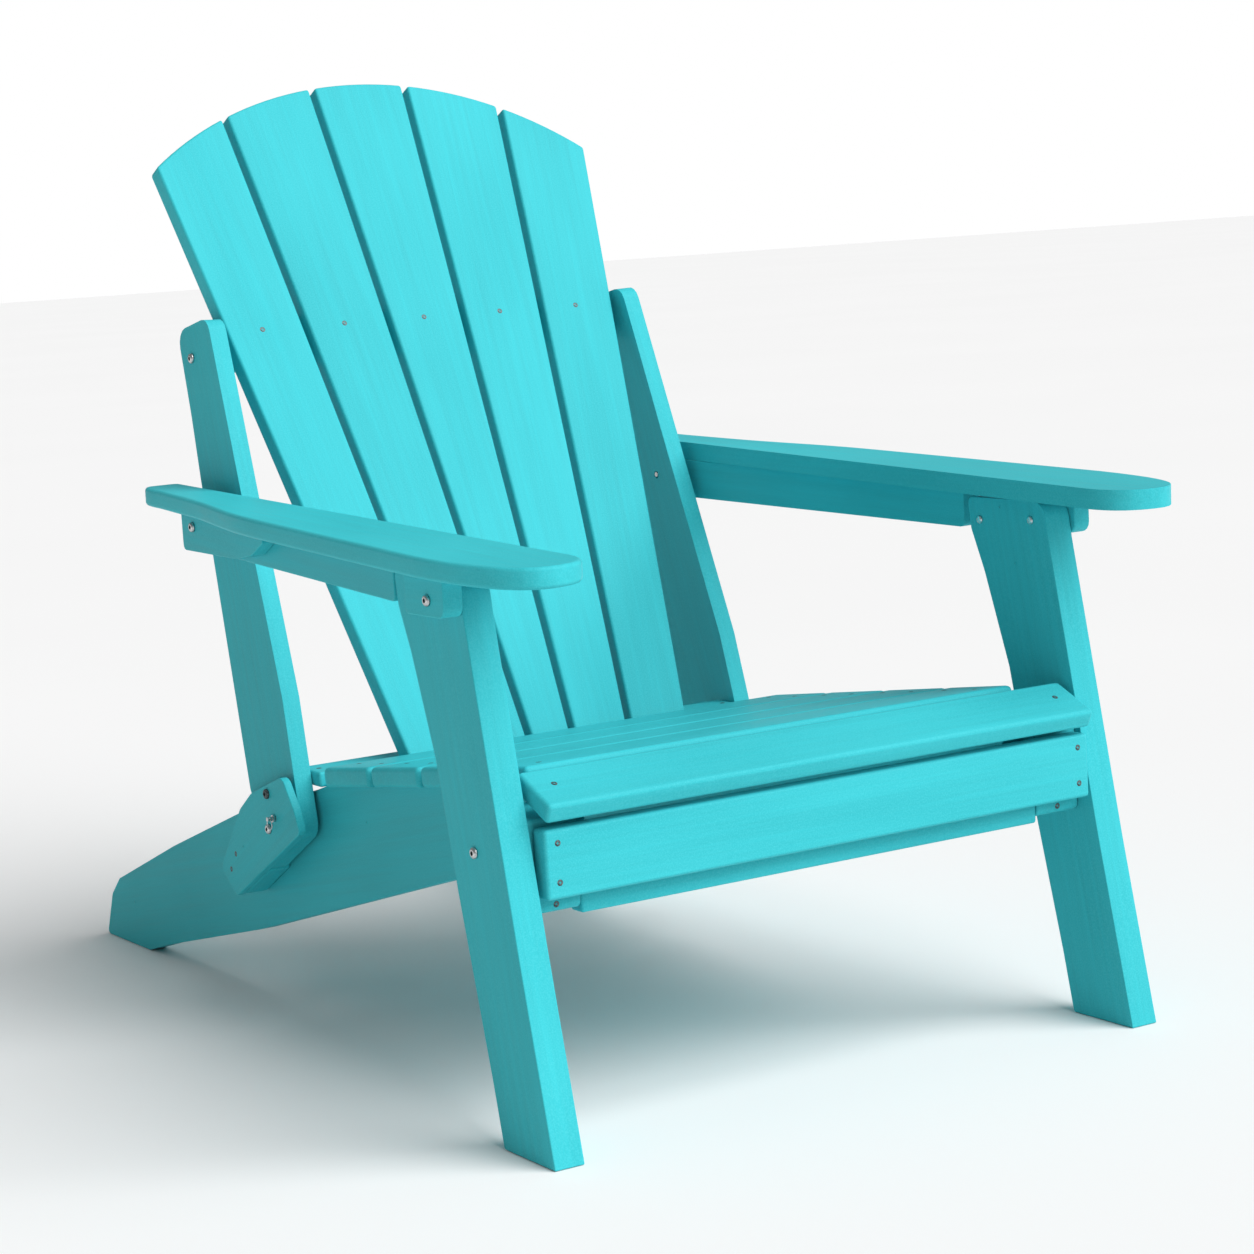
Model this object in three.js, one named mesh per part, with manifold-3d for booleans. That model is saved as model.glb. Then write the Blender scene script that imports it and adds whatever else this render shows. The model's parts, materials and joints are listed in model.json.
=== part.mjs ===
// Folding Adirondack chair in painted wood: a fixed seat frame that carries a hinged back,
// two hinged front legs and two arms that link the back to the legs.
// Millimetres, +Z up. The sitter looks along -Y. The origin is on the ground, under the
// middle of the chair's box. Side profiles are drawn as (Y, Z) with Y = 0 at the front toe.
import * as THREE from 'three';
import { mergeVertices } from 'three/addons/utils/BufferGeometryUtils.js';
import Module from 'manifold-3d';

const wasm = await Module();
wasm.setup();

// Driving dimensions ---------------------------------------------------------------------

const GAP = 0.3;

// Layers across the chair, as distances from the middle plane [inner face, outer face].
const LAYER = {
  stringer: [220, 240],
  spacer: [240 + GAP, 265.5 - GAP],
  cheek: [265.5, 273.5],
  pivotBlock: [240 + GAP, 288],
  leg: [289, 317],
  frontBlock: [318, 336],
};
// Posts lean in towards each other, about the height of the back pivot.
const POST = { middle: 252.5, thick: 18, lean: 0.035 };

// Pivot centres as (Y, Z).
const ARM_FRONT_PIVOT = [113, 453];
const LEG_PIVOT = [97, 245];
const ARM_REAR_PIVOT = [654, 479];
const BACK_PIVOT = [577, 226];
const FOLD_DEG = 55;

// Seat: a straight run of slats that falls towards the back, and a steeper front slat.
const SEAT_REAR = [484, 240.5];
const SEAT_SLOPE = 0.123;
const SEAT_SLAT = { width: 91, gap: 5, thick: 19, halfLength: 258, count: 4 };
const FRONT_SLAT = { rear: [86, 292.8], slope: 0.449, width: 54, thick: 18, halfLength: 284 };

// Back: five slats fanned about the middle, cut to an arc at the top.
const BACK_FOOT = [500, 245];
const BACK_LEAN = Math.atan(0.48);
const BACK_THICK = 20;
const UPPER_RAIL = { halfLength: 227, low: 434, high: 480, thick: 22 };
const LOWER_RAIL = { halfLength: 242, front: 526, rear: 571, low: 233.5, high: 248 };
const BACK_CREST = 726.5;
const BACK_ARC_RADIUS = 401;
const SLAT_GAP = 7;
// Middle of each gap, and the outer edge, as [distance at the foot, growth per mm upwards].
const FAN_LINES = [[24, 0.041], [89, 0.101], [155.6 + SLAT_GAP / 2, 0.1415]];

// Arm boards rise gently towards the back.
const ARM = { underside: 471, slope: 0.034, thick: 18, inner: 263, rear: 750, tip: -40 };
// Rail and rear block under each arm, side by side, turned in plan to follow its outer edge.
const RAIL = { front: 214, rear: 686, thick: 20, middle: 303, at: 200, skew: 0.0733 };
const REAR_BLOCK = { front: 474, rear: 685, thick: 13.5 };

const BOLT_RADIUS = 2.6;
const BOLT_HOLE = 4;
const HEAD_RADIUS = 5;
const HEAD_HEIGHT = 2.8;
const CAP = { radius: 3.8, height: 1.5 };
const LEG_POCKET = { radius: 8, wall: 6 };
const TRAVEL_BOLT = [578, 192];
const PULL_PIN = { at: [565, 204], radius: 2.2, collar: 3.6, eye: 5, ringRadius: 5, wire: 0.6 };
const LEG_TOP_BOLT = [186, 450];
// Outer face of the rear block where the arm's rear bolt crosses it.
const ARM_BOLT_SEAT = RAIL.middle - RAIL.skew * (ARM_REAR_PIVOT[0] - RAIL.at)
  + RAIL.thick / 2 + REAR_BLOCK.thick + 0.8;
const RAIL_BOLT = [729, 636];

// Materials ------------------------------------------------------------------------------

const paint = new THREE.MeshStandardMaterial({ color: 0x3fc4cc, roughness: 0.45, metalness: 0 });
const steel = new THREE.MeshStandardMaterial({ color: 0xb9bcbe, roughness: 0.35, metalness: 1 });

// Shapes ---------------------------------------------------------------------------------

const SIDES = [['l', -1], ['r', 1]];
const ARC_STEPS = 4;

// Arc that rounds a corner, tangent to both of its edges.
function roundCorner(previous, corner, next, radius) {
  const before = previous.clone().sub(corner).normalize();
  const after = next.clone().sub(corner).normalize();
  const halfAngle = Math.acos(before.dot(after)) / 2;
  const middle = before.clone().add(after).normalize();
  const centre = corner.clone().addScaledVector(middle, radius / Math.sin(halfAngle));
  const reach = radius / Math.tan(halfAngle);
  const start = corner.clone().addScaledVector(before, reach).sub(centre);
  const end = corner.clone().addScaledVector(after, reach).sub(centre);
  const clockwise = start.cross(end) < 0;
  const arc = new THREE.EllipseCurve(
    centre.x, centre.y, radius, radius, start.angle(), end.angle(), clockwise);
  return arc.getPoints(ARC_STEPS);
}

// Closed outline through corners [a, b, radius], with a radius where the corner is rounded.
function outline(corners) {
  const points = corners.map(([a, b]) => new THREE.Vector2(a, b));
  const around = corners.flatMap(([, , radius = 0], i) => {
    if (radius === 0) return [points[i]];
    return roundCorner(points.at(i - 1), points[i], points[(i + 1) % points.length], radius);
  });
  return new THREE.Shape(around);
}

function addHole(shape, [a, b], radius = BOLT_HOLE) {
  const hole = new THREE.Path();
  hole.absarc(a, b, radius, 0, 2 * Math.PI, true);
  shape.holes.push(hole);
}

function extrude(shape, depth) {
  return new THREE.ExtrudeGeometry(shape, { depth, bevelEnabled: false, curveSegments: ARC_STEPS });
}

// Turns local x, y, z to the chair's Y, Z, X, so that a side profile stands upright.
const UPRIGHT = new THREE.Quaternion().setFromAxisAngle(
  new THREE.Vector3(1, 1, 1).normalize(), 2 * Math.PI / 3);

function place(name, geometry, material, x = 0, y = 0, z = 0) {
  const mesh = new THREE.Mesh(geometry, material);
  mesh.name = name;
  mesh.position.set(x, y, z);
  return mesh;
}

// Board cut to a side profile, between two distances from the middle plane on one side.
function sideBoard(name, shape, [inner, outer], side) {
  const x = side > 0 ? inner : -outer;
  const mesh = place(name, extrude(shape, outer - inner), paint, x);
  mesh.quaternion.copy(UPRIGHT);
  return mesh;
}

function solidOf(geometry) {
  const plain = geometry.clone();
  plain.deleteAttribute('normal');
  plain.deleteAttribute('uv');
  const merged = mergeVertices(plain);
  return new wasm.Manifold(new wasm.Mesh({
    numProp: 3,
    vertProperties: new Float32Array(merged.attributes.position.array),
    triVerts: new Uint32Array(merged.index.array),
  }));
}

function geometryOf(solid) {
  const { vertProperties, triVerts } = solid.getMesh();
  const geometry = new THREE.BufferGeometry();
  geometry.setAttribute('position', new THREE.BufferAttribute(vertProperties, 3));
  geometry.setIndex(new THREE.BufferAttribute(triVerts, 1));
  return geometry;
}

// Button-head bolt: the shank runs inwards from the head's underside at `seat`.
function bolt(name, [y, z], seat, length, side, radius = BOLT_RADIUS, head = HEAD_RADIUS) {
  const profile = [
    [0, -length], [radius, -length], [radius, 0], [head, 0],
    [head, HEAD_HEIGHT * 0.5], [head * 0.6, HEAD_HEIGHT], [0, HEAD_HEIGHT],
  ].map(([r, h]) => new THREE.Vector2(r, h));
  const mesh = place(name, new THREE.LatheGeometry(profile, 12), steel, side * (seat + GAP), y, z);
  mesh.rotation.z = -side * Math.PI / 2;
  return mesh;
}

// Domed cap on a leg's inner face, where a bolt from outside ends.
function innerCap(name, [y, z], side) {
  const { radius, height } = CAP;
  const profile = [[0, 0], [radius, 0], [radius, height / 2], [radius * 0.6, height], [0, height]]
    .map(([r, h]) => new THREE.Vector2(r, h));
  const x = side * (LAYER.leg[0] - GAP);
  const mesh = place(name, new THREE.LatheGeometry(profile, 12), steel, x, y, z);
  mesh.rotation.z = side * Math.PI / 2;
  return mesh;
}

// Seat frame -----------------------------------------------------------------------------

const seatTopAt = (y) => SEAT_REAR[1] + SEAT_SLOPE * (SEAT_REAR[0] - y);

// Long side board: rear foot on the ground, seat part in front, dropping under the front slat.
function stringerShape() {
  const nose = 82;
  const shape = outline([
    [974, 0], [1088, 0, 4], [1066, 48, 12], [1043, 68, 8], [888, 126], [702, 189], [537, 230],
    [502, SEAT_REAR[1]], SEAT_REAR, [FRONT_SLAT.rear[0], seatTopAt(FRONT_SLAT.rear[0])],
    [nose, seatTopAt(FRONT_SLAT.rear[0]) - FRONT_SLAT.slope * (FRONT_SLAT.rear[0] - nose)],
    [nose, 196, 6], [240, 190], [273, 184], [696, 68], [916, 16, 60],
  ]);
  addHole(shape, LEG_PIVOT);
  addHole(shape, TRAVEL_BOLT);
  addHole(shape, PULL_PIN.at, PULL_PIN.radius + 1);
  return shape;
}

function pivotBlockShape() {
  const shape = outline([[62, 192, 7], [118, 192, 12], [134, 215, 12], [134, 272, 4], [62, 272, 4]]);
  addHole(shape, LEG_PIVOT);
  return shape;
}

function spacerShape() {
  return outline([[606, 145.8], [664, 113, 6], [697, 137, 5], [668, 168], [630, 171], [616, 167.5]]);
}

// Plate that closes the hinge: it carries the back pivot, the travel bolt and the pull pin.
function cheekShape() {
  const shape = outline([
    [512, 196, 6], [664, 113, 6], [697, 137, 8], [642, 203, 14], [614, 222, 30],
    [543, 247, 12], [521, 216, 30],
  ]);
  addHole(shape, BACK_PIVOT);
  addHole(shape, TRAVEL_BOLT);
  addHole(shape, PULL_PIN.at, PULL_PIN.radius + 1);
  return shape;
}

function seatSlats() {
  const group = new THREE.Group();
  group.position.set(0, SEAT_REAR[0], SEAT_REAR[1]);
  group.rotation.x = -Math.atan(SEAT_SLOPE);
  const { width, gap, thick, halfLength, count } = SEAT_SLAT;
  for (let i = 0; i < count; i += 1) {
    const box = new THREE.BoxGeometry(2 * halfLength, width, thick);
    const y = -(width / 2 + i * (width + gap));
    group.add(place(`seat_slat_${i + 1}`, box, paint, 0, y, GAP + thick / 2));
  }
  return group;
}

function frontSlat() {
  const { rear, slope, width, thick, halfLength } = FRONT_SLAT;
  const group = new THREE.Group();
  group.position.set(0, rear[0], rear[1]);
  group.rotation.x = Math.atan(slope);
  const box = new THREE.BoxGeometry(2 * halfLength, width, thick);
  group.add(place('front_slat', box, paint, 0, -width / 2, thick / 2));
  return group;
}

function crossPieces() {
  const apron = new THREE.BoxGeometry(2 * FRONT_SLAT.halfLength, 19.6, 58);
  const stretcher = new THREE.BoxGeometry(2 * LAYER.stringer[1], 19, 66);
  const stop = new THREE.BoxGeometry(2 * LAYER.stringer[1], 12, 11.5);
  return [
    place('apron', apron, paint, 0, 49.8, 236.5),
    place('stretcher', stretcher, paint, 0, 72, 220),
    place('rear_stop', stop, paint, 0, 492, 246.7),
  ];
}

// Ring-pull lock pin: shank, collar and a drilled eye that the ring hangs in.
function pullPin(name, side) {
  const { radius, collar, eye } = PULL_PIN;
  const neck = 2.2;
  const profile = [[0, -42], [radius, -40], [radius, 0], [collar, 0], [collar, 2], [neck, 2],
    [neck, eye + 2.5], [0, eye + 2.5]].map(([r, h]) => new THREE.Vector2(r, h));
  const drill = new THREE.CylinderGeometry(1.4, 1.4, 12, 10).rotateZ(Math.PI / 2);
  drill.translate(0, eye, 0);
  const body = solidOf(new THREE.LatheGeometry(profile, 12)).subtract(solidOf(drill));
  const x = side * (LAYER.cheek[1] + GAP);
  const mesh = place(name, geometryOf(body), steel, x, ...PULL_PIN.at);
  mesh.rotation.z = -side * Math.PI / 2;
  return mesh;
}

function pullRing(name, side) {
  const { at: [y, z], eye, ringRadius, wire } = PULL_PIN;
  const torus = new THREE.TorusGeometry(ringRadius, wire, 6, 20).rotateY(Math.PI / 2);
  return place(name, torus, steel, side * (LAYER.cheek[1] + GAP + eye), y, z - ringRadius);
}

// Back -----------------------------------------------------------------------------------

// Curved slot in a post, so that it swings past the fixed travel bolt and pull pin.
function travelSlot() {
  const [py, pz] = BACK_PIVOT;
  const polar = ([y, z]) => [Math.hypot(y - py, z - pz), Math.atan2(z - pz, y - py)];
  const [nearRadius, startAngle] = polar(PULL_PIN.at);
  const [farRadius, pinAngle] = polar(TRAVEL_BOLT);
  const inner = nearRadius - PULL_PIN.radius - 1;
  const outer = farRadius + BOLT_RADIUS + 1;
  const from = startAngle - 0.2;
  const to = pinAngle + THREE.MathUtils.degToRad(FOLD_DEG) + 0.16;
  const slot = new THREE.Path();
  slot.absarc(py, pz, outer, from, to, false);
  slot.absarc(py, pz, inner, to, from, true);
  slot.closePath();
  return slot;
}

function postShape() {
  const shape = outline([
    [529, 191, 16], [604.5, 147, 2], [640, 222, 10], [722, 519], [737, 580], [761, 662, 16],
    [691, 676, 16], [634.5, 519], [560, 317], [541, 240],
  ]);
  addHole(shape, BACK_PIVOT);
  addHole(shape, ARM_REAR_PIVOT);
  addHole(shape, RAIL_BOLT);
  shape.holes.push(travelSlot());
  return shape;
}

// Turned frame of a leaning post: its X = 0 is the post's middle plane, at the pivot's height.
function leanGroup(side, ...parts) {
  const group = new THREE.Group();
  group.position.set(side * POST.middle, 0, BACK_PIVOT[1]);
  group.rotation.y = -side * POST.lean;
  for (const part of parts) {
    part.position.z -= BACK_PIVOT[1];
    group.add(part);
  }
  return group;
}

function leaningPost(tag, side) {
  const half = POST.thick / 2;
  return leanGroup(side,
    sideBoard(`post_${tag}`, postShape(), [-half, half], side),
    bolt(`back_rail_bolt_${tag}`, RAIL_BOLT, half, POST.thick, side));
}

// One slat between two fan lines, cut to the arc at its top. Local x runs across the chair.
function slatShape(left, right) {
  const centre = BACK_CREST - BACK_ARC_RADIUS;
  const topOf = ([foot, growth]) => {
    const a = 1 + growth * growth;
    const b = foot * growth - centre;
    const c = foot * foot + centre * centre - BACK_ARC_RADIUS * BACK_ARC_RADIUS;
    const v = (-b + Math.sqrt(b * b - a * c)) / a;
    return [foot + growth * v, v];
  };
  const angleOf = ([x, v]) => Math.atan2(v - centre, x);
  const shape = new THREE.Shape();
  shape.moveTo(left[0], 0);
  shape.lineTo(right[0], 0);
  shape.lineTo(...topOf(right));
  shape.absarc(0, centre, BACK_ARC_RADIUS, angleOf(topOf(right)), angleOf(topOf(left)), false);
  return shape;
}

function backPanel() {
  const group = new THREE.Group();
  group.position.set(0, ...BACK_FOOT);
  group.rotation.x = Math.PI / 2 - BACK_LEAN;
  const lines = [...FAN_LINES].reverse().map(([foot, growth]) => [-foot, -growth]).concat(FAN_LINES);
  const half = SLAT_GAP / 2;
  for (let i = 0; i < 5; i += 1) {
    const left = [lines[i][0] + half, lines[i][1]];
    const right = [lines[i + 1][0] - half, lines[i + 1][1]];
    const geometry = extrude(slatShape(left, right), BACK_THICK);
    group.add(place(`back_slat_${i + 1}`, geometry, paint, 0, 0, -BACK_THICK));
  }
  const { halfLength, low, high, thick } = UPPER_RAIL;
  const rail = new THREE.BoxGeometry(2 * halfLength, high - low, thick);
  const behind = -BACK_THICK - GAP - thick / 2;
  group.add(place('back_rail_upper', rail, paint, 0, (low + high) / 2, behind));
  return group;
}

// Flat batten behind the slats' feet, from post to post over the side boards.
function lowerRail() {
  const { halfLength, front, rear, low, high } = LOWER_RAIL;
  const box = new THREE.BoxGeometry(2 * halfLength, rear - front, high - low);
  return place('back_rail_lower', box, paint, 0, (front + rear) / 2, (low + high) / 2);
}

// Front legs -----------------------------------------------------------------------------

function legShape() {
  const [py, pz] = ARM_FRONT_PIVOT;
  const cornerRadius = 17.8;
  const shape = outline([
    [0, 0], [81, 0, 3], [93, 56], [130, 207], [153, 315], [183, 402, 24], [200, 441, 10],
    [204, pz + cornerRadius, 7], [py - cornerRadius - 1, pz + cornerRadius, cornerRadius],
    [89, 436], [62, 298], [36, 167],
  ]);
  addHole(shape, LEG_PIVOT);
  return shape;
}

// The arm bolt ends in a blind pocket, wide enough for the linkage's small misfit.
function leg(name, side) {
  const mesh = sideBoard(name, legShape(), LAYER.leg, side);
  const pocket = new THREE.CylinderGeometry(LEG_POCKET.radius, LEG_POCKET.radius, 60, 16);
  const depthSign = side > 0 ? 1 : -1;
  const middle = (LAYER.leg[1] - LAYER.leg[0]) / 2;
  pocket.rotateX(Math.PI / 2);
  pocket.translate(...ARM_FRONT_PIVOT, middle + depthSign * (30 + LEG_POCKET.wall - middle));
  mesh.geometry = geometryOf(solidOf(mesh.geometry).subtract(solidOf(pocket)));
  return mesh;
}

// Arms -----------------------------------------------------------------------------------

const armUndersideAt = (y) => ARM.underside + ARM.slope * y - GAP;

// Plan of the left arm board as (distance from the middle plane, Y): a rounded, paddle-like front.
function armPlan() {
  const { inner, rear, tip } = ARM;
  const shape = new THREE.Shape();
  shape.moveTo(inner, 10);
  shape.bezierCurveTo(inner, -22, 276, tip + 3, 304, tip);
  shape.bezierCurveTo(340, tip - 3, 357, 5, 357, 95);
  shape.splineThru([[345, 340], [337, 467], [317, 591], [306, 702]].map((p) => new THREE.Vector2(...p)));
  shape.bezierCurveTo(305, 738, 304, rear, 292, rear);
  shape.lineTo(inner + 10, rear);
  shape.bezierCurveTo(inner + 3, rear, inner, rear - 3, inner, rear - 10);
  return shape;
}

function armBoard(name, side) {
  const geometry = new THREE.ExtrudeGeometry(armPlan(), {
    depth: ARM.thick, bevelEnabled: false, curveSegments: 10,
  });
  if (side < 0) geometry.rotateY(Math.PI).translate(0, 0, ARM.thick);
  const mesh = place(name, geometry, paint, 0, 0, ARM.underside);
  mesh.rotation.x = Math.atan(ARM.slope);
  return mesh;
}

function frontBlock(name, side) {
  const shape = outline([
    [86, 439, 10], [152, 439, 5], [152, armUndersideAt(152)], [86, armUndersideAt(86)],
  ]);
  addHole(shape, ARM_FRONT_PIVOT);
  return sideBoard(name, shape, LAYER.frontBlock, side);
}

// Frame that follows the arm's outer edge in plan: its X = 0 is the rail's middle plane.
function skewGroup(side, ...parts) {
  const group = new THREE.Group();
  group.position.set(side * RAIL.middle, RAIL.at, 0);
  group.rotation.z = side * RAIL.skew;
  for (const part of parts) {
    part.position.y -= RAIL.at;
    group.add(part);
  }
  return group;
}

// Stiffener under the arm, with the rear block on its outer face. The arm's rear bolt crosses both.
function railAndRearBlock(tag, side) {
  const { front, rear, thick, at, skew } = RAIL;
  const half = thick / 2;
  const [boltY, boltZ] = ARM_REAR_PIVOT;
  // Where the bolt, which runs straight across, crosses the skewed plane X = x.
  const crossing = (x) => at + (boltY - at - x * Math.sin(skew)) / Math.cos(skew);
  const railShape = outline([
    [front, 441, 6], [rear, 455, 6], [rear, armUndersideAt(rear)], [front, armUndersideAt(front)],
  ]);
  addHole(railShape, [crossing(0), boltZ]);
  const block = REAR_BLOCK;
  const blockShape = outline([
    [block.front, 475], [505, 461, 40], [550, 455.5, 60], [block.rear, 455, 6],
    [block.rear, armUndersideAt(block.rear)], [block.front, armUndersideAt(block.front)],
  ]);
  addHole(blockShape, [crossing(half + block.thick / 2), boltZ]);
  const outer = half + GAP + block.thick;
  return skewGroup(side,
    sideBoard(`arm_rail_${tag}`, railShape, [-half, half], side),
    sideBoard(`arm_rear_block_${tag}`, blockShape, [half + GAP, outer], side));
}

// Assembly -------------------------------------------------------------------------------

function sideParts([tag, side]) {
  const boltSeat = LAYER.cheek[1];
  return [
    sideBoard(`stringer_${tag}`, stringerShape(), LAYER.stringer, side),
    sideBoard(`pivot_block_${tag}`, pivotBlockShape(), LAYER.pivotBlock, side),
    sideBoard(`spacer_${tag}`, spacerShape(), LAYER.spacer, side),
    sideBoard(`cheek_${tag}`, cheekShape(), LAYER.cheek, side),
    leaningPost(tag, side),
    leg(`leg_${tag}`, side),
    armBoard(`arm_${tag}`, side),
    frontBlock(`arm_front_block_${tag}`, side),
    railAndRearBlock(tag, side),
    bolt(`leg_pivot_bolt_${tag}`, LEG_PIVOT, LAYER.leg[1], 100, side),
    bolt(`back_pivot_bolt_${tag}`, BACK_PIVOT, boltSeat, 32, side),
    bolt(`travel_bolt_${tag}`, TRAVEL_BOLT, boltSeat, 56, side),
    bolt(`arm_front_bolt_${tag}`, ARM_FRONT_PIVOT, LAYER.frontBlock[1], 39, side),
    bolt(`arm_rear_bolt_${tag}`, ARM_REAR_PIVOT, ARM_BOLT_SEAT, 60, side),
    innerCap(`arm_front_cap_${tag}`, ARM_FRONT_PIVOT, side),
    innerCap(`leg_top_cap_${tag}`, LEG_TOP_BOLT, side),
    pullPin(`pull_pin_${tag}`, side),
    pullRing(`pull_ring_${tag}`, side),
  ];
}

const chair = new THREE.Group();
chair.add(backPanel(), lowerRail(), seatSlats(), frontSlat(), ...crossPieces());
chair.add(...SIDES.flatMap(sideParts));

// The box's middle goes over the origin.
const box = new THREE.Box3().setFromObject(chair, true);
chair.position.y = -(box.min.y + box.max.y) / 2;

export default chair;
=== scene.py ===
"""Folding Adirondack chair: rounded painted boards, their fasteners, and a pale studio.

Metres, +Z up. The sitter looks along -Y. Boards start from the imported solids, and get
rounded edges, a grain direction of their own and a procedural paint.
"""
import json
import math

import bmesh
import bpy
import numpy as np
from mathutils import Matrix, Vector


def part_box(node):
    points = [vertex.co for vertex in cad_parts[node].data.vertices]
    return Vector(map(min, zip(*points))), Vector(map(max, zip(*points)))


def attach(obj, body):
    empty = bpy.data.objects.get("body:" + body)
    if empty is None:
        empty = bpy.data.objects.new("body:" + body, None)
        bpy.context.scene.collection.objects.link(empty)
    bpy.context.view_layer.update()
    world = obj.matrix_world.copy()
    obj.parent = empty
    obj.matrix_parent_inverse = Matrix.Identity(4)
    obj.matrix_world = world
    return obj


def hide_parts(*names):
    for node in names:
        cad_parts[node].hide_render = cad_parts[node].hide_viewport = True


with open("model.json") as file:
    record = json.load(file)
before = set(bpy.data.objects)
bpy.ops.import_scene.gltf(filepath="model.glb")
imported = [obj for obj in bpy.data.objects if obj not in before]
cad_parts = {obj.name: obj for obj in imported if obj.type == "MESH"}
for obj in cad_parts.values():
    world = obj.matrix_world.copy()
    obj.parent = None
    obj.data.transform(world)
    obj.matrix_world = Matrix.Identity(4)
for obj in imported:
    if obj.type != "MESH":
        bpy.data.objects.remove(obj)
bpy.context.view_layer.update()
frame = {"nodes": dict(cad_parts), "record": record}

# Driving values ---------------------------------------------------------------------------

CAMERA_PLACE = Vector((-1.5093, -2.5996, 0.7520))
CAMERA_AZIMUTH = -31.849
CAMERA_ELEVATION = 7.590
CAMERA_ROLL = -3.474
CAMERA_LENS = 89.2

PAINT_DEEP = (0.030, 0.445, 0.500, 1.0)
PAINT_LIGHT = (0.043, 0.515, 0.575, 1.0)
# Pale edge colour: partly worn paint, partly painted highlight along the rounded edges.
PAINT_WEAR_AND_HIGHLIGHT = (0.110, 0.660, 0.710, 1.0)

EDGE_ROUND = 0.0028
# Boards that a sitter touches have softer edges, by the start of their names.
SOFT_EDGES = (
    ("seat_slat", 0.0048),
    ("arm_", 0.0036),
    ("front_slat", 0.0040),
    ("apron", 0.0034),
)
EDGE_STEPS = 3
# From one board to the next, the noise moves along and across, and the paint's tone changes.
GRAIN_STEP = (1.37, 0.61)
TONE_STEP = 2.4
TONE_SPREAD = 0.03
SHARP_ANGLE = math.radians(28)

SCREW_RADIUS = 0.0027
SCREW_RISE = 0.0002

BOLT_SHANK = 0.0026
BOLT_CHAMFER = 0.0004
BOLT_HEAD_RISE = 0.0028
SOCKET_DEPTH = 0.0018

# Distance from the chair's front toe to the middle of its box.
CHAIR_SHIFT = -0.522584
CHEEK_SCREWS = ((0.659, 0.156), (0.672, 0.139))
CHEEK_HOLES = ((0.640, 0.166),)
STRINGER_HOLES = ((1.004, 0.048), (0.439, 0.212))
LEG_HOLES = ((0.156, 0.463), (0.137, 0.412))

# Screws across the chair, and in the pivot block's front as (x, z).
SLAT_SCREW_X = 0.231
FRONT_SLAT_SCREW_X = 0.262
APRON_SCREW_X = 0.272
ARM_SCREW_X = 0.303
BLOCK_SCREW = (0.264, 0.199)

FLOOR_DROP = 0.0005
SURROUND_LIGHT = 0.27
BACKDROP_LIGHT = 1.0
SUN_AZIMUTH = 27
SUN_ELEVATION = 43
SUN_STRENGTH = 3.5
SUN_SPREAD = 60

SIDES = (("l", -1), ("r", 1))
NODE_BODY = {n: b for b, nodes in frame["record"]["behaviour"]["bodies"].items() for n in nodes}
SLOT_OF = {s["node"]: s["material_slot"] for s in frame["record"]["subparts"]}


# Materials --------------------------------------------------------------------------------

def new_material(name):
    material = bpy.data.materials.new(name)
    material.use_nodes = True
    tree = material.node_tree
    return material, tree, tree.nodes["Principled BSDF"]


def add_node(tree, kind, **values):
    node = tree.nodes.new(kind)
    for key, value in values.items():
        if key in node.inputs:
            node.inputs[key].default_value = value
        else:
            setattr(node, key, value)
    return node


def attribute(tree, name, output):
    return add_node(tree, "ShaderNodeAttribute", attribute_name=name).outputs[output]


def stretched_noise(tree, vector, scale, detail, roughness=0.55):
    """Noise along a board's own axes, drawn out along its length."""
    mapping = add_node(tree, "ShaderNodeMapping", Scale=scale)
    tree.links.new(vector, mapping.inputs["Vector"])
    noise = add_node(tree, "ShaderNodeTexNoise", Scale=1.0, Detail=detail, Roughness=roughness)
    tree.links.new(mapping.outputs["Vector"], noise.inputs["Vector"])
    return noise.outputs["Fac"]


def remap(tree, value, low, high, to_low, to_high):
    node = add_node(tree, "ShaderNodeMapRange")
    for key, number in (("From Min", low), ("From Max", high), ("To Min", to_low), ("To Max", to_high)):
        node.inputs[key].default_value = number
    tree.links.new(value, node.inputs["Value"])
    return node.outputs["Result"]


def mix_colour(tree, factor, a, b):
    """Mix of two colours. Each is a socket or an RGBA value."""
    node = add_node(tree, "ShaderNodeMix", data_type="RGBA")
    tree.links.new(factor, node.inputs["Factor"])
    for key, colour in (("A", a), ("B", b)):
        socket = [s for s in node.inputs if s.name == key and s.type == "RGBA"][0]
        if isinstance(colour, tuple):
            socket.default_value = colour
        else:
            tree.links.new(colour, socket)
    return [s for s in node.outputs if s.type == "RGBA"][0]


def maths(tree, operation, a, b):
    node = add_node(tree, "ShaderNodeMath", operation=operation)
    for socket, value in zip(node.inputs, (a, b)):
        if isinstance(value, (int, float)):
            socket.default_value = value
        else:
            tree.links.new(value, socket)
    return node.outputs["Value"]


def bump_chain(tree, layers):
    """Bump nodes in a row, from (height, strength, distance)."""
    normal = None
    for height, strength, distance in layers:
        bump = add_node(tree, "ShaderNodeBump", Strength=strength, Distance=distance)
        tree.links.new(height, bump.inputs["Height"])
        if normal is not None:
            tree.links.new(normal, bump.inputs["Normal"])
        normal = bump.outputs["Normal"]
    return normal


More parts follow.
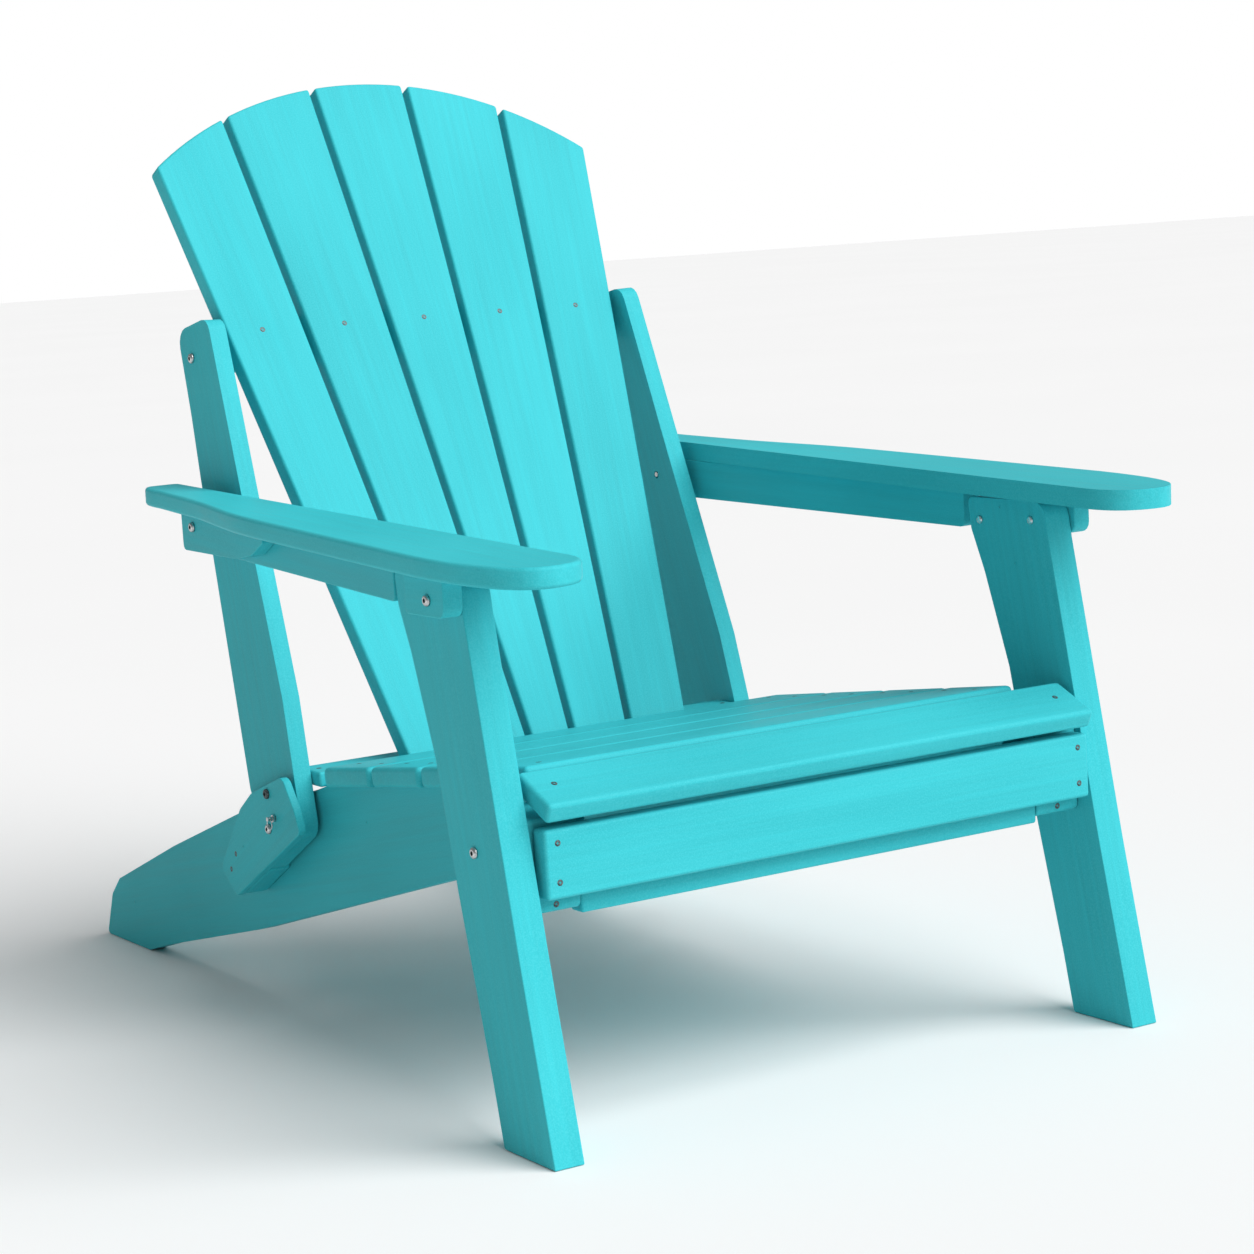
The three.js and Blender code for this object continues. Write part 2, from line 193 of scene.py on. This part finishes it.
def paint_material():
    """Satin turquoise paint: brushed along each board, a little thin and pale on the edges, a mix of
    wear and painted highlight.
    """
    material, tree, shader = new_material("paint")
    along = attribute(tree, "board_place", "Vector")
    edge = attribute(tree, "board_edge", "Fac")
    tone = attribute(tree, "board_tone", "Fac")
    mottle = stretched_noise(tree, along, (3.0, 9.0, 9.0), 2.0)
    brush = stretched_noise(tree, along, (4.0, 150.0, 150.0), 4.0)
    grain = stretched_noise(tree, along, (12.0, 380.0, 380.0), 6.0, 0.65)
    skin = stretched_noise(tree, along, (800.0, 800.0, 800.0), 2.0)
    colour = mix_colour(tree, remap(tree, mottle, 0.3, 0.7, 0.0, 1.0), PAINT_DEEP, PAINT_LIGHT)
    streaks = maths(tree, "ADD", remap(tree, brush, 0.3, 0.7, -0.05, 0.05),
                    remap(tree, grain, 0.3, 0.7, -0.03, 0.03))
    bright = add_node(tree, "ShaderNodeHueSaturation")
    tree.links.new(maths(tree, "ADD", maths(tree, "ADD", streaks, tone), 1.0), bright.inputs["Value"])
    tree.links.new(colour, bright.inputs["Color"])
    # Painted highlight and wear: rounded edge faces mix towards the pale edge colour in noisy patches.
    edge_wear_and_highlight = maths(tree, "MULTIPLY", edge, remap(tree, skin, 0.4, 0.7, 0.06, 0.34))
    colour = mix_colour(tree, edge_wear_and_highlight, bright.outputs["Color"], PAINT_WEAR_AND_HIGHLIGHT)
    tree.links.new(colour, shader.inputs["Base Color"])
    rough = maths(tree, "ADD", remap(tree, brush, 0.3, 0.7, 0.40, 0.50),
                  remap(tree, mottle, 0.3, 0.7, -0.03, 0.03))
    tree.links.new(rough, shader.inputs["Roughness"])
    normal = bump_chain(tree, ((grain, 0.20, 0.0006), (brush, 0.14, 0.0008), (skin, 0.10, 0.0003)))
    tree.links.new(normal, shader.inputs["Normal"])
    shader.inputs["Specular IOR Level"].default_value = 0.07
    return material


def steel_material():
    """Zinc-plated steel: turned rings, small stains and scratches."""
    material, tree, shader = new_material("steel")
    place = add_node(tree, "ShaderNodeTexCoord").outputs["Object"]
    stain = stretched_noise(tree, place, (420.0, 420.0, 420.0), 4.0)
    scratch = stretched_noise(tree, place, (900.0, 5000.0, 2600.0), 3.0)
    colour = mix_colour(tree, remap(tree, stain, 0.35, 0.65, 0.0, 1.0),
                        (0.42, 0.43, 0.43, 1.0), (0.72, 0.73, 0.74, 1.0))
    tree.links.new(colour, shader.inputs["Base Color"])
    tree.links.new(remap(tree, scratch, 0.3, 0.7, 0.22, 0.42), shader.inputs["Roughness"])
    tree.links.new(bump_chain(tree, ((scratch, 0.15, 0.0001),)), shader.inputs["Normal"])
    shader.inputs["Metallic"].default_value = 1.0
    return material


def screw_material():
    """Dull screw steel, mottled with stains and darkened overall as painted shade of a countersink."""
    material, tree, shader = new_material("screw")
    place = add_node(tree, "ShaderNodeTexCoord").outputs["Object"]
    stain = stretched_noise(tree, place, (700.0, 700.0, 700.0), 4.0)
    # Both colours are far darker than bare steel: painted shade over the whole head.
    colour = mix_colour(tree, remap(tree, stain, 0.4, 0.6, 0.0, 1.0),
                        (0.025, 0.050, 0.055, 1.0), (0.170, 0.190, 0.195, 1.0))
    tree.links.new(colour, shader.inputs["Base Color"])
    tree.links.new(remap(tree, stain, 0.3, 0.7, 0.38, 0.60), shader.inputs["Roughness"])
    tree.links.new(bump_chain(tree, ((stain, 0.3, 0.0001),)), shader.inputs["Normal"])
    shader.inputs["Metallic"].default_value = 0.7
    return material


def recess_shade_material():
    """Painted shade: near-black colour, mottled with noise, for the recess of a screw and of a filled
    nail hole.
    """
    material, tree, shader = new_material("recess")
    place = add_node(tree, "ShaderNodeTexCoord").outputs["Object"]
    recess_shade_noise = stretched_noise(tree, place, (1500.0, 1500.0, 1500.0), 3.0)
    # Near-black painted shade for recess walls and floors.
    colour = mix_colour(tree, remap(tree, recess_shade_noise, 0.3, 0.7, 0.0, 1.0),
                        (0.010, 0.020, 0.022, 1.0), (0.035, 0.085, 0.090, 1.0))
    tree.links.new(colour, shader.inputs["Base Color"])
    tree.links.new(remap(tree, recess_shade_noise, 0.3, 0.7, 0.5, 0.8), shader.inputs["Roughness"])
    return material


def floor_material():
    material, tree, shader = new_material("studio_floor")
    place = add_node(tree, "ShaderNodeTexCoord").outputs["Object"]
    cloud = stretched_noise(tree, place, (0.6, 0.6, 0.6), 2.0)
    colour = mix_colour(tree, cloud, (0.90, 0.90, 0.90, 1.0), (0.93, 0.93, 0.93, 1.0))
    tree.links.new(colour, shader.inputs["Base Color"])
    shader.inputs["Roughness"].default_value = 0.9
    shader.inputs["Specular IOR Level"].default_value = 0.1
    return material


PAINT = paint_material()
STEEL = steel_material()
SCREW = screw_material()
RECESS_SHADE = recess_shade_material()


# Boards -----------------------------------------------------------------------------------

def board_axes(points):
    """Centre and own axes of a board, its length first."""
    centre = points.mean(axis=0)
    _, vectors = np.linalg.eigh(np.cov((points - centre).T))
    return centre, vectors[:, ::-1]


def write_attribute(mesh, name, kind, domain, values):
    layer = mesh.attributes.new(name, kind, domain)
    layer.data.foreach_set("vector" if kind == "FLOAT_VECTOR" else "value", values.ravel())


def rounded_board(node, index, radius):
    """Copy of a board's solid with welded faces, rounded edges and its own grain axes."""
    work = bmesh.new()
    work.from_mesh(frame["nodes"][node].data)
    bmesh.ops.remove_doubles(work, verts=work.verts, dist=1e-5)
    bmesh.ops.dissolve_limit(work, angle_limit=math.radians(0.6), verts=work.verts, edges=work.edges)
    sharp = [e for e in work.edges if len(e.link_faces) == 2 and e.calc_face_angle(0) > SHARP_ANGLE]
    flat = set(work.faces)
    bmesh.ops.bevel(work, geom=sharp, offset=radius, segments=EDGE_STEPS, profile=0.5,
                    affect="EDGES", clamp_overlap=True)
    mesh = bpy.data.meshes.new(f"{node}_board")
    edge_flag = np.array([0.0 if f in flat else 1.0 for f in work.faces], np.float32)
    for face in work.faces:
        face.smooth = True
    work.to_mesh(mesh)
    work.free()
    places = np.array([v.co for v in mesh.vertices])
    centre, axes = board_axes(places)
    shift = np.array((index * GRAIN_STEP[0], index * GRAIN_STEP[1], 0.0))
    write_attribute(mesh, "board_place", "FLOAT_VECTOR", "POINT",
                    ((places - centre) @ axes + shift).astype(np.float32))
    write_attribute(mesh, "board_edge", "FLOAT", "FACE", edge_flag)
    tone = np.full(len(mesh.polygons), TONE_SPREAD * math.sin(index * TONE_STEP), np.float32)
    write_attribute(mesh, "board_tone", "FLOAT", "FACE", tone)
    mesh.materials.append(PAINT)
    board = bpy.data.objects.new(f"{node}_board", mesh)
    bpy.context.scene.collection.objects.link(board)
    weighted = board.modifiers.new("even_faces", "WEIGHTED_NORMAL")
    weighted.keep_sharp = False
    return board


def stand_for(piece, node):
    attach(piece, NODE_BODY[node])
    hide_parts(node)


def make_boards():
    boards = [n for n in sorted(frame["nodes"]) if SLOT_OF[n] == "paint"]
    for index, node in enumerate(boards):
        radius = next((r for start, r in SOFT_EDGES if node.startswith(start)), EDGE_ROUND)
        stand_for(rounded_board(node, index, radius), node)


# Fasteners --------------------------------------------------------------------------------

def lathe(work, profile, steps):
    """Turns a profile of (radius, height) about +Z and returns its last ring."""
    rings = []
    for radius, height in profile:
        if radius == 0:
            rings.append([work.verts.new((0, 0, height))])
            continue
        turn = [2 * math.pi * k / steps for k in range(steps)]
        places = [(radius * math.cos(t), radius * math.sin(t), height) for t in turn]
        rings.append([work.verts.new(place) for place in places])
    for low, high in zip(rings, rings[1:]):
        for k in range(steps):
            after = (k + 1) % steps
            corners = [ring[step % len(ring)] for ring, step in
                       ((low, k), (low, after), (high, after), (high, k))]
            face = work.faces.new(list(dict.fromkeys(corners)))
            face.smooth = True
    return rings[-1]


def sink_socket(work, ring, corners, radius, depth):
    """Recess with the given number of corners, joined to the head's inner ring."""
    height = ring[0].co.z
    steps = len(ring)
    wall = []
    for k in range(steps):
        t = 2 * math.pi * k / steps
        sector = math.pi / corners
        reach = radius * math.cos(sector) / math.cos((t % (2 * sector)) - sector)
        wall.append(work.verts.new((reach * math.cos(t), reach * math.sin(t), height)))
    floor = [work.verts.new((v.co.x, v.co.y, height - depth)) for v in wall]
    # The recess walls and floor take the second material, near-black painted shade.
    for k in range(steps):
        after = (k + 1) % steps
        work.faces.new((ring[k], ring[after], wall[after], wall[k]))
        work.faces.new((wall[k], wall[after], floor[after], floor[k])).material_index = 1
    work.faces.new(floor).material_index = 1


def sink_cross(work, ring, arm, width, depth):
    """Cross-shaped recess, joined to the head's inner ring."""
    height = ring[0].co.z
    steps = len(ring)
    wall = []
    for k in range(steps):
        t = 2 * math.pi * k / steps
        c, s = abs(math.cos(t)), abs(math.sin(t))
        reach = min(arm, width / max(min(c, s), 1e-6)) if max(c, s) > 0.8 else width * 1.45
        wall.append(work.verts.new((reach * math.cos(t), reach * math.sin(t), height)))
    floor = work.verts.new((0, 0, height - depth))
    # The cross's walls take the second material, near-black painted shade.
    for k in range(steps):
        after = (k + 1) % steps
        work.faces.new((ring[k], ring[after], wall[after], wall[k]))
        work.faces.new((wall[k], wall[after], floor)).material_index = 1


def finish_fastener(work, name, place, direction, materials):
    bmesh.ops.recalc_face_normals(work, faces=work.faces)
    mesh = bpy.data.meshes.new(name)
    work.to_mesh(mesh)
    work.free()
    for material in materials:
        mesh.materials.append(material)
    mesh.set_sharp_from_angle(angle=math.radians(40))
    piece = bpy.data.objects.new(name, mesh)
    turn = Vector(direction).to_track_quat("Z", "Y").to_matrix().to_4x4()
    piece.matrix_world = Matrix.Translation(place) @ turn
    bpy.context.scene.collection.objects.link(piece)
    return piece


def node_end(node, side):
    """Middle of a fastener across the chair, its inner and outer ends, and its widest radius."""
    low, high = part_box(node)
    inner, outer = (low.x, high.x) if side > 0 else (high.x, low.x)
    return (low.y + high.y) / 2, (low.z + high.z) / 2, inner, outer, (high.z - low.z) / 2


def socket_bolt(node, side, material):
    """Domed bolt head with a hexagon socket on its shank, in place of the plain solid."""
    y, z, inner, outer, head = node_end(node, side)
    radius, rise, chamfer = BOLT_SHANK, BOLT_HEAD_RISE, BOLT_CHAMFER
    shank = abs(outer - inner)
    work = bmesh.new()
    profile = (
        (0, -shank), (radius - chamfer / 2, -shank), (radius, -shank + chamfer), (radius, -rise),
        (head * 0.94, -rise), (head, -rise * 0.86), (head * 0.97, -rise * 0.55),
        (head * 0.84, -rise * 0.2), (head * 0.66, -0.0001), (head * 0.56, 0),
    )
    ring = lathe(work, profile, 36)
    sink_socket(work, ring, 6, head * 0.44, SOCKET_DEPTH)
    place = Vector((outer, y, z))
    return finish_fastener(work, f"{node}_piece", place, (side, 0, 0), (material, RECESS_SHADE))


def cap_piece(node, side):
    """Domed cap on the leg's inner face."""
    y, z, inner, outer, radius = node_end(node, side)
    rise = abs(outer - inner)
    work = bmesh.new()
    lathe(work, ((0, 0), (radius, 0), (radius, rise * 0.3), (radius * 0.93, rise * 0.62),
                 (radius * 0.7, rise * 0.9), (radius * 0.35, rise), (0, rise)), 32)
    place = Vector((outer, y, z))
    return finish_fastener(work, f"{node}_piece", place, (-side, 0, 0), (STEEL,))


def tube_ring(work, radius, wire, steps=48, sides=12):
    rings = []
    for k in range(steps):
        t = 2 * math.pi * k / steps
        ring = []
        for m in range(sides):
            u = 2 * math.pi * m / sides
            reach = radius + wire * math.cos(u)
            ring.append(work.verts.new((reach * math.cos(t), reach * math.sin(t), wire * math.sin(u))))
        rings.append(ring)
    for k in range(steps):
        for m in range(sides):
            after = (m + 1) % sides
            nxt = rings[(k + 1) % steps]
            face = work.faces.new((rings[k][m], nxt[m], nxt[after], rings[k][after]))
            face.smooth = True


def pull_ring_piece(node, side):
    low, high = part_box(node)
    middle = (low + high) / 2
    wire = (high.x - low.x) / 2
    work = bmesh.new()
    tube_ring(work, (high.z - low.z) / 2 - wire, wire)
    return finish_fastener(work, f"{node}_piece", middle, (side, 0, 0), (STEEL,))


def smooth_steel(node):
    """The pull pin keeps its solid and gets the steel."""
    solid = frame["nodes"][node]
    for holder in solid.material_slots:
        holder.material = STEEL


def make_bolts():
    for tag, side in SIDES:
        for name in ("leg_pivot_bolt", "back_pivot_bolt", "travel_bolt", "arm_front_bolt",
                     "arm_rear_bolt", "back_rail_bolt"):
            node = f"{name}_{tag}"
            material = SCREW if name == "back_pivot_bolt" else STEEL
            stand_for(socket_bolt(node, side, material), node)
        for name in ("arm_front_cap", "leg_top_cap"):
            node = f"{name}_{tag}"
            stand_for(cap_piece(node, side), node)
        node = f"pull_ring_{tag}"
        stand_for(pull_ring_piece(node, side), node)
        smooth_steel(f"pull_pin_{tag}")


def wood_screw(name, place, direction, body):
    """Countersunk cross-head screw, its face just proud of the paint."""
    work = bmesh.new()
    ring = lathe(work, ((0, -0.004), (0.0012, -0.004), (SCREW_RADIUS, -0.0004), (SCREW_RADIUS, 0),
                        (SCREW_RADIUS * 0.86, SCREW_RISE * 0.6), (SCREW_RADIUS * 0.66, SCREW_RISE)), 48)
    sink_cross(work, ring, SCREW_RADIUS * 0.60, SCREW_RADIUS * 0.13, 0.0012)
    screw = finish_fastener(work, name, Vector(place), direction, (SCREW, RECESS_SHADE))
    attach(screw, body)


def nail_hole(name, place, direction, body):
    """Small filled nail hole, a dark dot of painted shade in its shallow recess, with a raised rim of
    paint.
    """
    work = bmesh.new()
    profile = ((0, -0.002), (0.0018, -0.002), (0.0018, 0), (0.0014, 0.0002), (0.0011, 0.0002))
    ring = lathe(work, profile, 24)
    # The hole's recess takes the second material, near-black painted shade.
    sink_socket(work, ring, 12, 0.0009, 0.0008)
    hole = finish_fastener(work, name, Vector(place), direction, (PAINT, RECESS_SHADE))
    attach(hole, body)


def flat_frame(node):
    """Centre of a board and its three own directions, from its solid: length, width, thickness."""
    solid = frame["nodes"][node]
    points = np.array([solid.matrix_world @ v.co for v in solid.data.vertices])
    centre, axes = board_axes(points)
    reach = np.ptp((points - centre) @ axes, axis=0)
    middle = centre + axes @ (((points - centre) @ axes).min(axis=0) + reach / 2)
    return Vector(middle), [Vector(axes[:, k]) for k in range(3)], reach


def face_screws(node, spots, towards):
    """Screws in a board's wide face. Each spot is (x across the chair, share of its width)."""
    middle, (_, width, normal), reach = flat_frame(node)
    if normal.dot(Vector(towards)) < 0:
        normal = -normal
    if width.z < 0:
        width = -width
    for k, (x, share) in enumerate(spots):
        place = middle + Vector((x - middle.x, 0, 0)) + width * (share * reach[1])
        wood_screw(f"{node}_screw_{k}", place + normal * reach[2] / 2, normal, NODE_BODY[node])


def back_slat_screws():
    """One screw per slat into the upper rail."""
    rail, _, _ = flat_frame("back_rail_upper")
    for k in range(1, 6):
        node = f"back_slat_{k}"
        middle, (length, _, thick), reach = flat_frame(node)
        length, thick = (-v if v.z < 0 else v for v in (length, thick))
        facing = thick if thick.y < 0 else -thick
        along = (rail.z + 0.012 - middle.z) / length.z
        place = middle + length * along + facing * reach[2] / 2
        wood_screw(f"{node}_screw", place, facing, NODE_BODY[node])


def on_upright_face(make, label, node, away, spots):
    """Details on the face of an upright board that looks along X * away, at (y in the chair, z)."""
    low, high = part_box(node)
    x = high.x if away > 0 else low.x
    for k, (y, z) in enumerate(spots):
        make(f"{node}_{label}_{k}", (x, y + CHAIR_SHIFT, z), (away, 0, 0), NODE_BODY[node])


def make_nail_holes():
    for tag, side in SIDES:
        on_upright_face(nail_hole, "hole", f"stringer_{tag}", side, STRINGER_HOLES)
        on_upright_face(nail_hole, "hole", f"leg_{tag}", -side, LEG_HOLES)
        on_upright_face(nail_hole, "hole", f"cheek_{tag}", side, CHEEK_HOLES)


def both_ends(x, shares):
    """Spots for face_screws at both ends of a cross piece."""
    return [(side * x, share) for _, side in SIDES for share in shares]


def make_screws():
    up, front, down = (0, 0, 1), (0, -1, 0), (0, 0, -1)
    for k in range(1, 5):
        face_screws(f"seat_slat_{k}", both_ends(SLAT_SCREW_X, (-0.25, 0.25)), up)
    face_screws("front_slat", both_ends(FRONT_SLAT_SCREW_X, (0.05,)), up)
    face_screws("apron", both_ends(APRON_SCREW_X, (-0.26, 0.30)), front)
    face_screws("back_rail_lower", both_ends(SLAT_SCREW_X, (0.0,)), up)
    back_slat_screws()
    for tag, side in SIDES:
        face_screws(f"arm_{tag}", [(side * ARM_SCREW_X, 0.0)], down)
        on_upright_face(wood_screw, "screw", f"cheek_{tag}", side, CHEEK_SCREWS)
        x, z = BLOCK_SCREW
        place = (side * x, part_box(f"pivot_block_{tag}")[0].y, z)
        wood_screw(f"pivot_block_{tag}_screw", place, front, "seat")


# Studio -----------------------------------------------------------------------------------

def make_floor():
    work = bmesh.new()
    bmesh.ops.create_grid(work, x_segments=8, y_segments=8, size=40)
    mesh = bpy.data.meshes.new("studio_floor")
    work.to_mesh(mesh)
    work.free()
    mesh.materials.append(floor_material())
    floor = bpy.data.objects.new("studio_floor", mesh)
    floor.location.z = -FLOOR_DROP
    bpy.context.scene.collection.objects.link(floor)


def soft_sun(name, azimuth, elevation, strength, spread):
    """Wide sun from a compass angle (0 in front of the chair, + to the right) and a height."""
    data = bpy.data.lights.new(name, "SUN")
    data.energy = strength
    data.angle = math.radians(spread)
    lamp = bpy.data.objects.new(name, data)
    az, el = math.radians(azimuth), math.radians(elevation)
    source = Vector((math.sin(az) * math.cos(el), -math.cos(az) * math.cos(el), math.sin(el)))
    lamp.rotation_euler = source.to_track_quat("Z", "Y").to_euler()
    bpy.context.scene.collection.objects.link(lamp)


def make_world(surround, backdrop):
    """Even light from all round, seen by the camera as a paler backdrop."""
    world = bpy.data.worlds.new("studio")
    world.use_nodes = True
    tree = world.node_tree
    background = tree.nodes["Background"]
    background.inputs["Color"].default_value = (1.0, 1.0, 1.0, 1.0)
    seen = tree.nodes.new("ShaderNodeLightPath").outputs["Is Camera Ray"]
    tree.links.new(remap(tree, seen, 0.0, 1.0, surround, backdrop), background.inputs["Strength"])
    bpy.context.scene.world = world


def make_lights():
    make_world(SURROUND_LIGHT, BACKDROP_LIGHT)
    soft_sun("key", SUN_AZIMUTH, SUN_ELEVATION, SUN_STRENGTH, SUN_SPREAD)
    bpy.context.scene.view_settings.view_transform = "Standard"


def make_camera():
    data = bpy.data.cameras.new("camera")
    data.lens = CAMERA_LENS
    data.sensor_width = 36.0
    camera = bpy.data.objects.new("camera", data)
    az, el, roll = (math.radians(v) for v in (CAMERA_AZIMUTH, CAMERA_ELEVATION, CAMERA_ROLL))
    back = Vector((math.sin(az) * math.cos(el), -math.cos(az) * math.cos(el), math.sin(el)))
    right = (-back).cross(Vector((0, 0, 1))).normalized()
    up = right.cross(-back)
    cos_roll, sin_roll = math.cos(roll), math.sin(roll)
    right, up = cos_roll * right + sin_roll * up, cos_roll * up - sin_roll * right
    turn = Matrix((right, up, back)).transposed().to_4x4()
    camera.matrix_world = Matrix.Translation(CAMERA_PLACE) @ turn
    bpy.context.scene.collection.objects.link(camera)
    bpy.context.scene.camera = camera


make_camera()
make_boards()
make_bolts()
make_screws()
make_nail_holes()
make_floor()
make_lights()
